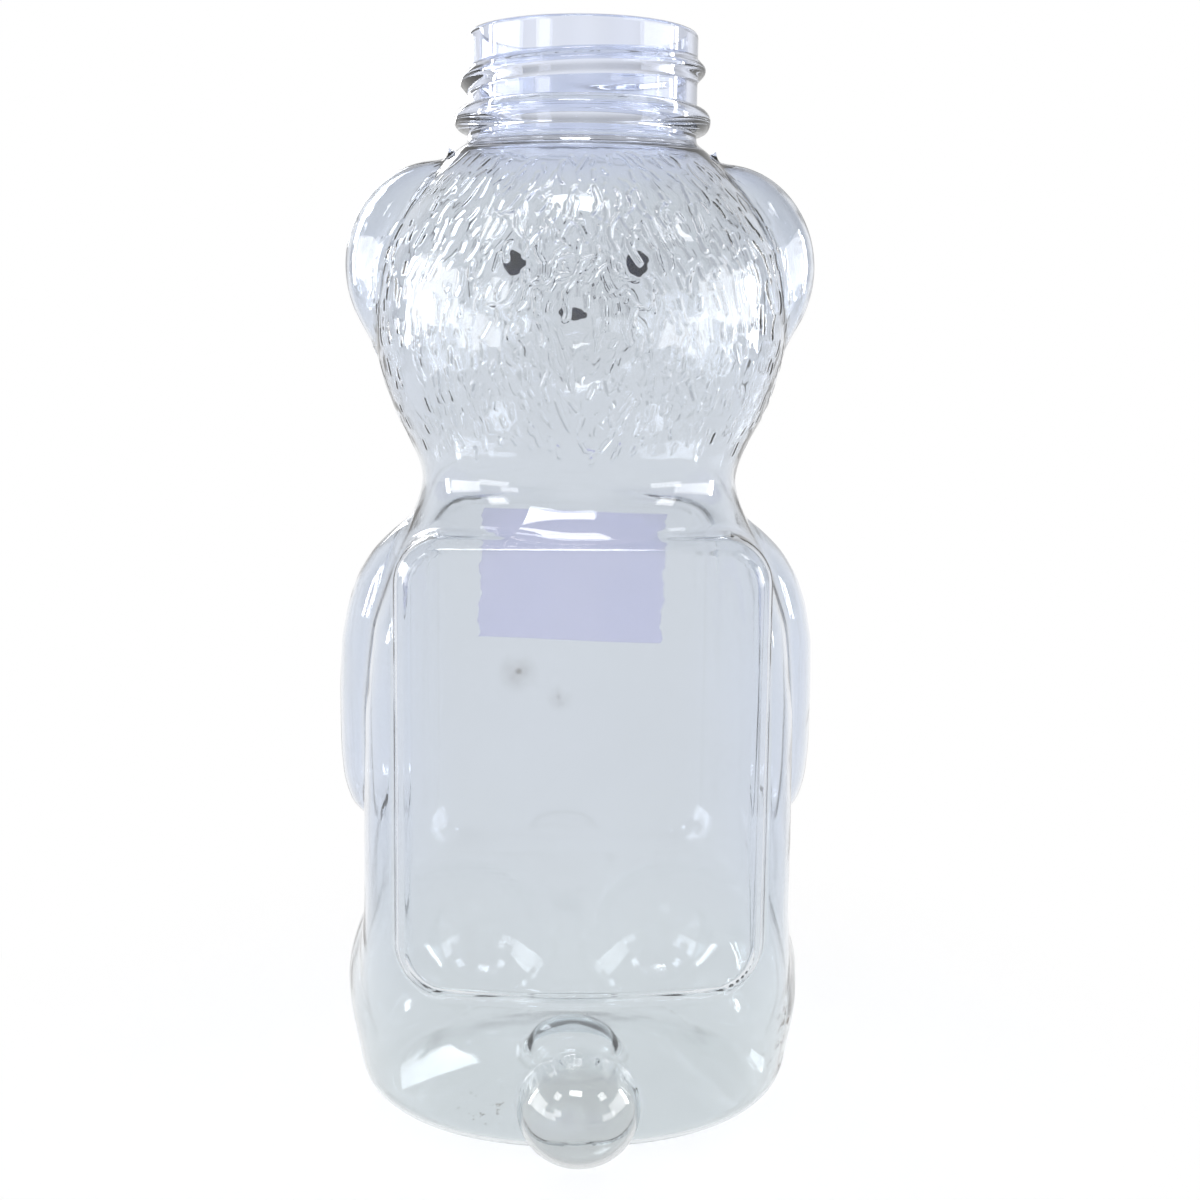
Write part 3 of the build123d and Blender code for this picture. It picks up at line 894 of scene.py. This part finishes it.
def dab(node, across, height, half_width, half_height, phase):
    """A patch of rings round its middle: its radius wavers with two and with five lobes."""
    column = np.argmin(np.abs(head[..., 0] - across) + 60 * (head[..., 1] > 0)
                       + 3 * np.abs(head[..., 2] - height))
    column = column % HEAD_COLUMNS
    turn = head_turns[column]
    place = np.interp(height, head[:, column, 2], head_spot)
    radius = np.hypot(*on_head(np.array([turn]), np.array([place]))[0][0, :2])
    rings, spokes = 15, 64
    share = np.linspace(0, 1, rings)[1:, None]
    angle = np.linspace(0, 2 * np.pi, spokes, endpoint=False)[None, :]
    waver = 0.97 + 0.02 * np.sin(2 * angle + phase) + 0.02 * np.sin(5 * angle + 2 * phase)
    aside = share * waver * half_width * np.cos(angle)
    above = share * waver * half_height * np.sin(angle)
    points, normals = on_head(turn + aside / radius, place + above)
    middle, middle_normal = on_head(np.array([turn]), np.array([place]))
    thickness = 0.05 * np.sqrt(np.clip(1 - share ** 4, 0, 1)) + 0 * angle
    top = np.concatenate([(points + normals * thickness[..., None]).reshape(-1, 3),
                          middle + 0.05 * middle_normal])
    under = np.concatenate([(points - 0.03 * normals).reshape(-1, 3),
                            middle - 0.03 * middle_normal])
    count, ring_count = len(top), rings - 1
    outer_ring = (ring_count - 1) * spokes
    piece = make_piece(f"ink_{node}", np.concatenate([top, under]), None, [
        grid_faces(0, ring_count, spokes), pole_faces(0, count - 1, spokes),
        grid_faces(count, ring_count, spokes, flip=True),
        pole_faces(count, 2 * count - 1, spokes, flip=True),
        rim_faces(outer_ring, count + outer_ring, spokes, spokes, flip=False),
    ], ink)
    thin = np.concatenate([(share ** 3 + 0 * angle).ravel(), [0.0]])
    layer = piece.data.attributes.new("thin", "FLOAT", "POINT")
    layer.data.foreach_set("value", np.tile(thin, 2).astype(np.float32))
    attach(piece, "root")
    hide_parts(node)
    return piece


dabs = [dab("left_eye", 10.7, 133.5, 2.05, 2.45, 0.4),
        dab("right_eye", -10.7, 133.5, 2.05, 2.45, 2.1), dab("nose", 0.0, 125.0, 2.5, 1.2, 4.0)]


# %% [markdown]
# ## The strip of tape
# A piece of pale lavender paper tape sits on the belly panel, a little crooked. It is a thin
# sheet with crisp long edges, torn ends and a few bubbles where it never touched the plastic.
# Paper lets light through, so the shader mixes what it reflects with what it passes on: seen
# from behind, through the whole bottle, the strip is nearly as bright as what is around it.

# %% Tape
tape, tree, shader, spot = start_material("tape")
fibres = spot.noise(1500.0, 4.0)
blush = spot.noise(60.0, 1.0)
shade = mixed(blush.between(0.35, 0.65), colour(219, 218, 243), colour(232, 228, 245))
shade = mixed(fibres.between(0.3, 0.7) * 0.35, shade, colour(212, 211, 238))
shade.into(shader, "Base Color")
shader.inputs["Roughness"].default_value = 0.75
crepe = spot.node("ShaderNodeBump", {"Height": fibres, "Strength": 0.4, "Distance": 0.00005})
crepe.into(shader, "Normal")
glow = tree.nodes.new("ShaderNodeBsdfTranslucent")
shade.into(glow, "Color")
gaps = tree.nodes.new("ShaderNodeBsdfTransparent")
gaps.inputs["Color"].default_value = colour(248, 247, 255)
paper = mixed_shader(tree, 0.5, shader.outputs["BSDF"], glow.outputs["BSDF"])
surface(tree, mixed_shader(tree, 0.86, paper, gaps.outputs["BSDF"]))

TAPE_HALF = np.array([16.3, 11.7])
across, upward = np.meshgrid(np.linspace(-1, 1, 111), np.linspace(-1, 1, 79))
torn = 0.22 * np.sin(9 * upward + 1) + 0.16 * np.sin(23 * upward) + 0.10 * np.sin(51 * upward + 2)
flat_x = across * (TAPE_HALF[0] + np.abs(across) ** 12 * torn * np.sign(across))
flat_z = upward * TAPE_HALF[1] + 0.08 * np.sin(3 * across)
bubbles = np.zeros_like(across)
BUBBLES = (-8.0, 5.5, 1.6), (5.5, -3.0, 1.2), (11.0, 6.0, 1.0), (-3.0, -8.0, 0.9)
for place_x, place_z, size in BUBBLES:
    bubbles += 0.07 * np.exp(-((flat_x - place_x) ** 2 + (flat_z - place_z) ** 2) / size ** 2)
curl = 0.06 * np.abs(across) ** 10 + 0.05 * np.clip(across + upward - 1.5, 0, 1)
tilt = np.radians(2.0)
sheet_x = flat_x * np.cos(tilt) - flat_z * np.sin(tilt)
sheet_z = 78.9 + flat_x * np.sin(tilt) + flat_z * np.cos(tilt)
lift = 28.0 + bubbles + curl
face = np.stack([sheet_x, -(lift + 0.08), sheet_z], -1)
back = np.stack([sheet_x, -(lift - 0.01), sheet_z], -1)
rows, columns = across.shape
index = np.arange(rows * columns).reshape(rows, columns)
quads = np.stack([index[:-1, :-1], index[:-1, 1:], index[1:, 1:], index[1:, :-1]], -1)
quads = quads.reshape(-1, 4)
border = np.concatenate([index[0, :-1], index[:-1, -1], index[-1, :0:-1], index[:0:-1, 0]])
after = np.roll(border, -1)
total = rows * columns
edge_quads = np.stack([border, border + total, after + total, after], -1)
piece = make_piece("belly_tape", np.concatenate([face.reshape(-1, 3), back.reshape(-1, 3)]), None,
                   [quads, quads[:, ::-1] + total, edge_quads], tape)
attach(piece, "root")
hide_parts("front_label")


# %% [markdown]
# ## Studio
# Clear plastic shows what is around it. Even white light from all sides would make it vanish,
# so the studio has bright windows to reflect and a softer ceiling to darken the slopes. Two
# narrow streaks, a little in front of the sides, draw the light lines along the arms.

# %% Floor, world and windows
def look_at(thing, eye, target):
    """Turns a lamp or camera so that it looks from its place to the target."""
    thing.location = eye
    thing.rotation_euler = (Vector(target) - Vector(eye)).to_track_quat("-Z", "Y").to_euler()


def window(name, eye, size, brightness):
    """A rectangular lamp whose watts give the wanted brightness over its area."""
    light = bpy.data.lights.new(name, "AREA")
    light.shape = "RECTANGLE"
    light.size, light.size_y = size
    light.energy = brightness * np.pi * size[0] * size[1]
    lamp = bpy.data.objects.new(name, light)
    lamp.visible_camera = False
    bpy.context.scene.collection.objects.link(lamp)
    look_at(lamp, eye, (0, 0, 0.08))


# name, place, width and height, brightness
WINDOWS = [
    ("window_high", (0.10, 0.48, 0.90), (0.36, 0.18), 9.0),
    ("window_left", (0.83, 0.10, 0.22), (0.50, 0.36), 3.6),
    ("window_right", (-0.83, 0.11, 0.23), (0.70, 0.34), 2.8),
    ("strip_left", (0.54, 0.62, 0.25), (0.20, 0.18), 2.6),
    ("upper_left", (0.55, 0.36, 0.66), (0.20, 0.20), 5.0),
    ("upper_right", (-0.57, 0.36, 0.64), (0.20, 0.20), 5.0),
    ("low_left", (0.42, 0.30, 0.07), (0.24, 0.10), 2.5),
    ("low_right", (-0.42, 0.32, 0.07), (0.24, 0.10), 2.5),
    ("streak_left", (0.88, -0.24, 0.16), (0.07, 0.50), 13.0),
    ("streak_right", (-0.88, -0.20, 0.16), (0.07, 0.50), 13.0),
    ("window_far", (0.30, -0.86, 0.36), (0.20, 0.30), 3.5),
]
for row in WINDOWS:
    window(*row)

world = bpy.data.worlds.new("studio")
bpy.context.scene.world = world
world.use_nodes = True
tree = world.node_tree
background = tree.nodes["Background"]
direction = tree.nodes.new("ShaderNodeTexCoord").outputs["Generated"]
path = tree.nodes.new("ShaderNodeLightPath")
split = tree.nodes.new("ShaderNodeSeparateXYZ")
tree.links.new(direction, split.inputs[0])
rise = Socket(tree, split.outputs["Z"])
soft = rise.between(0.30, 0.85) * -0.45 + 1.0
azimuth = rise.node("ShaderNodeMath", {0: Socket(tree, split.outputs["Y"]),
                                       1: Socket(tree, split.outputs["X"])}, operation="ARCTAN2")
panels = rise.node("ShaderNodeMath", {0: azimuth * 8.0}, operation="COSINE") * 0.18 + 0.82
soft = soft * (panels + (1 - panels) * rise.between(0.5, 0.9))
seen = Socket(tree, path.outputs["Is Camera Ray"])
glossy = Socket(tree, path.outputs["Is Glossy Ray"])
through = Socket(tree, path.outputs["Is Transmission Ray"])
mirrored = glossy.node("ShaderNodeMath", {0: glossy, 1: through}, operation="MAXIMUM")
strength = seen + (1 - seen) * (mirrored * soft + (1 - mirrored) * 0.55)
background.inputs["Color"].default_value = (1, 1, 1, 1)
strength.into(background, "Strength")

floor_mesh = bpy.data.meshes.new("floor")
side = 3.0
floor_mesh.from_pydata([(-side, -side, 0), (side, -side, 0), (side, side, 0), (-side, side, 0)],
                       [], [(0, 1, 2, 3)])
floor = bpy.data.objects.new("floor", floor_mesh)
floor.location.z = -0.0003
bpy.context.scene.collection.objects.link(floor)
paper, tree, shader, spot = start_material("floor_paper")
floor_mesh.materials.append(paper)
shader.inputs["Base Color"].default_value = (0.95, 0.95, 0.955, 1)
shader.inputs["Roughness"].default_value = 0.9
shader.inputs["Specular IOR Level"].default_value = 0.0
glow = tree.nodes.new("ShaderNodeEmission")
glow.inputs["Strength"].default_value = 1.0
path = tree.nodes.new("ShaderNodeLightPath")
reach = spot.node("ShaderNodeVectorMath", {0: spot}, output="Value", operation="LENGTH")
far_off = reach.between(0.03, 0.12) * 0.5 + 0.5
sight = (Socket(tree, path.outputs["Is Camera Ray"]) + Socket(tree, path.outputs["Is Glossy Ray"])
         + Socket(tree, path.outputs["Is Transmission Ray"]))
surface(tree, mixed_shader(tree, (sight * far_off).socket, shader.outputs["BSDF"],
                           glow.outputs["Emission"]))


# %% [markdown]
# ## Camera
# The photograph was taken from close behind the bear, a little above its middle.

# %% Camera
camera_data = bpy.data.cameras.new("camera")
camera_data.sensor_width = 36.0
camera_data.lens = 45.87
camera_data.shift_x = 0.018
camera_data.shift_y = -0.071
camera = bpy.data.objects.new("camera", camera_data)
bpy.context.scene.collection.objects.link(camera)
azimuth = np.radians(178.0)
distance, eye_height, pitch = 0.240, 0.125, np.radians(7.5)
eye = (distance * np.sin(azimuth), -distance * np.cos(azimuth), eye_height)
look_at(camera, eye, (0, 0, eye_height - distance * np.tan(pitch)))
camera.rotation_euler.rotate_axis("Z", np.radians(0.6))
camera_data.clip_start = 0.01
bpy.context.scene.camera = camera
bpy.context.scene.view_settings.view_transform = "Standard"
